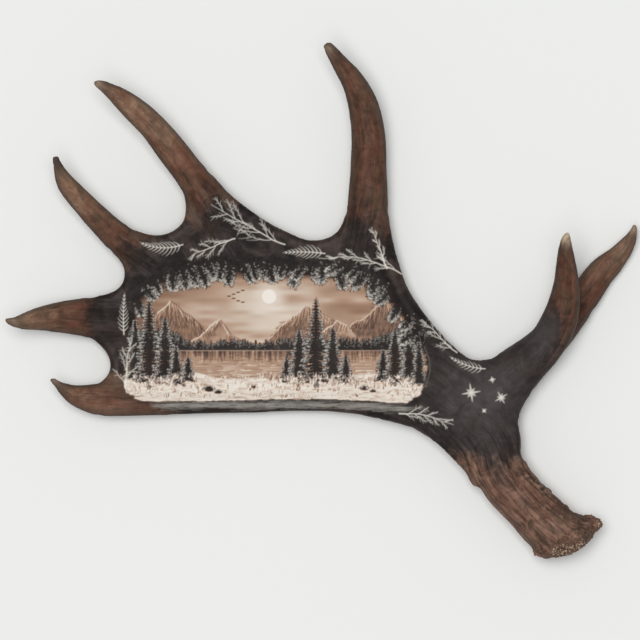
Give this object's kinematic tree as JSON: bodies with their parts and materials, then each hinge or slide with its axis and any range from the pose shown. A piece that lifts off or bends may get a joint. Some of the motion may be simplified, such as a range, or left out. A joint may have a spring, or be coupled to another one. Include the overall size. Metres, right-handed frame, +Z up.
{
  "type": "carved moose antler",
  "caption": "Shed moose antler with a dished palm, tines, a ridged beam and a rough burr. It lies on its back with the worked face of the palm up.",
  "frame": {"origin": "middle of the bounding box, on the surface that the antler rests on", "axes": "+X from the palm's end tines towards the burr, +Y towards the tall tine, +Z up, out of the palm's worked face"},
  "size_m": [0.6338, 0.5162, 0.1028],
  "materials": {
    "palm_stain": "antler bone stained brown-black, satin, with a worked picture in cream and brown on its face",
    "tine_stain": "antler bone stained mid brown, streaked lengthwise, satin, with paler worn tips",
    "beam_stain": "rough ridged antler bone, reddish brown, with paler ridges and pearls"
  },
  "bodies": {
    "root": {"palm": "palm_stain", "palm_tine_1": "tine_stain", "palm_tine_2": "tine_stain", "palm_tine_3": "tine_stain", "palm_tine_4": "tine_stain", "palm_tine_5": "tine_stain", "beam_and_burr": "beam_stain", "brow_branch": "palm_stain", "brow_tine_rear": "tine_stain"}
  },
  "joints": []
}
